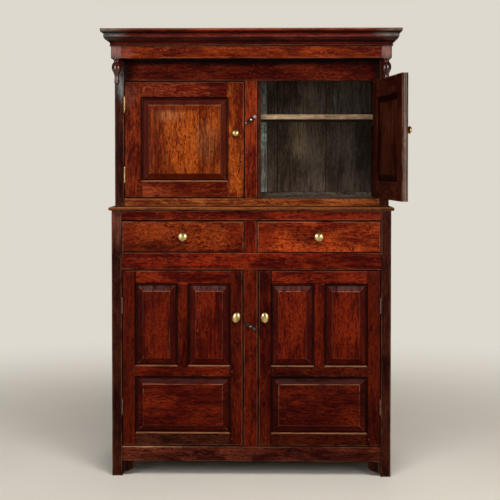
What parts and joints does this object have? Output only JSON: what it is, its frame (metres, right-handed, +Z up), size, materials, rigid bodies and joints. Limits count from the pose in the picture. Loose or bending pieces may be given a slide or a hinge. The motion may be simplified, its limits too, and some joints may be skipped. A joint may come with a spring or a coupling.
{
  "type": "court cupboard",
  "caption": "Tall joined-oak cupboard in two stages: framed doors below a row of drawers, a set-back upper cupboard, and a canopy with corner pendants and a moulded cornice.",
  "frame": {"origin": "on the floor, under the middle of the case's footprint (its width between the outer stiles and its depth between the lower front and the back)", "axes": "+Z up, the front faces -Y, +X to the right as seen from the front"},
  "size_m": [1.1803, 0.9091, 1.766],
  "materials": {
    "oak_frame": "waxed red-brown oak with worn edges",
    "oak_panel": "waxed figured oak",
    "oak_inside": "dry, dusty unfinished oak",
    "brass": "worn turned and cast brass",
    "iron": "dark forged iron",
    "screw_steel": "worn steel screw"
  },
  "bodies": {
    "case": {"canopy_boards": "oak_inside", "canopy_frieze": "oak_frame", "canopy_posts": "oak_frame", "case_hinge_leaves": "brass", "cornice": "oak_frame", "drawer_runners": "oak_inside", "foot_brackets": "oak_frame", "joint_pegs": "oak_frame", "ledge_boards": "oak_frame", "lower_back_boards": "oak_inside", "lower_floor_boards": "oak_inside", "lower_front_rails": "oak_frame", "lower_front_stiles": "oak_frame", "lower_muntins": "oak_frame", "lower_rear_stiles": "oak_frame", "lower_side_and_back_rails": "oak_frame", "lower_side_panels": "oak_panel", "shelf_bearers": "oak_inside", "turn_button_screws": "screw_steel", "upper_back_boards": "oak_inside", "upper_floor_boards": "oak_inside", "upper_front_rails": "oak_frame", "upper_front_stiles": "oak_frame", "upper_muntin": "oak_frame", "upper_rear_stiles": "oak_frame", "upper_shelf": "oak_inside", "upper_side_and_back_rails": "oak_frame", "upper_side_panels": "oak_panel"},
    "upper_left_door": {"upper_left_door_hinges": "brass", "upper_left_door_knob": "brass", "upper_left_door_panel": "oak_panel", "upper_left_door_rails": "oak_frame", "upper_left_door_stiles": "oak_frame"},
    "upper_right_door": {"upper_right_door_hinges": "brass", "upper_right_door_knob": "brass", "upper_right_door_panel": "oak_panel", "upper_right_door_rails": "oak_frame", "upper_right_door_stiles": "oak_frame"},
    "lower_left_door": {"lower_left_door_hinges": "brass", "lower_left_door_knob": "brass", "lower_left_door_lower_panel": "oak_panel", "lower_left_door_muntin": "oak_frame", "lower_left_door_rails": "oak_frame", "lower_left_door_stiles": "oak_frame", "lower_left_door_upper_panels": "oak_panel"},
    "lower_right_door": {"lower_right_door_hinges": "brass", "lower_right_door_knob": "brass", "lower_right_door_lower_panel": "oak_panel", "lower_right_door_muntin": "oak_frame", "lower_right_door_rails": "oak_frame", "lower_right_door_stiles": "oak_frame", "lower_right_door_upper_panels": "oak_panel"},
    "left_drawer": {"left_drawer_box": "oak_inside", "left_drawer_front": "oak_frame", "left_drawer_knob": "brass"},
    "right_drawer": {"right_drawer_box": "oak_inside", "right_drawer_front": "oak_frame", "right_drawer_knob": "brass"},
    "upper_button": {"upper_turn_button": "iron"},
    "lower_button": {"lower_turn_button": "iron"}
  },
  "joints": [
    {"name": "upper_left_door_hinge", "type": "hinge", "parent": "case", "child": "upper_left_door", "pos_m": [-0.51175, -0.1586, 1.3335], "axis": [0, 0, -1], "range_deg": [0, 97.75]},
    {"name": "upper_right_door_hinge", "type": "hinge", "parent": "case", "child": "upper_right_door", "pos_m": [0.51175, -0.1586, 1.3335], "axis": [0, 0, 1], "range_deg": [-97.76, 0]},
    {"name": "lower_left_door_hinge", "type": "hinge", "parent": "case", "child": "lower_left_door", "pos_m": [-0.50975, -0.2686, 0.469], "axis": [0, 0, -1], "range_deg": [0, 170]},
    {"name": "lower_right_door_hinge", "type": "hinge", "parent": "case", "child": "lower_right_door", "pos_m": [0.50975, -0.2686, 0.469], "axis": [0, 0, 1], "range_deg": [0, 170]},
    {"name": "left_drawer_slide", "type": "slide", "parent": "case", "child": "left_drawer", "axis": [0, -1, 0], "range_m": [0, 0.35]},
    {"name": "right_drawer_slide", "type": "slide", "parent": "case", "child": "right_drawer", "axis": [0, -1, 0], "range_m": [0, 0.35]},
    {"name": "upper_turn_button_pivot", "type": "hinge", "parent": "case", "child": "upper_button", "pos_m": [-0.002, -0.155, 1.415], "axis": [0, -1, 0], "continuous": true},
    {"name": "lower_turn_button_pivot", "type": "hinge", "parent": "case", "child": "lower_button", "pos_m": [-0.002, -0.265, 0.5963], "axis": [0, -1, 0], "continuous": true}
  ]
}
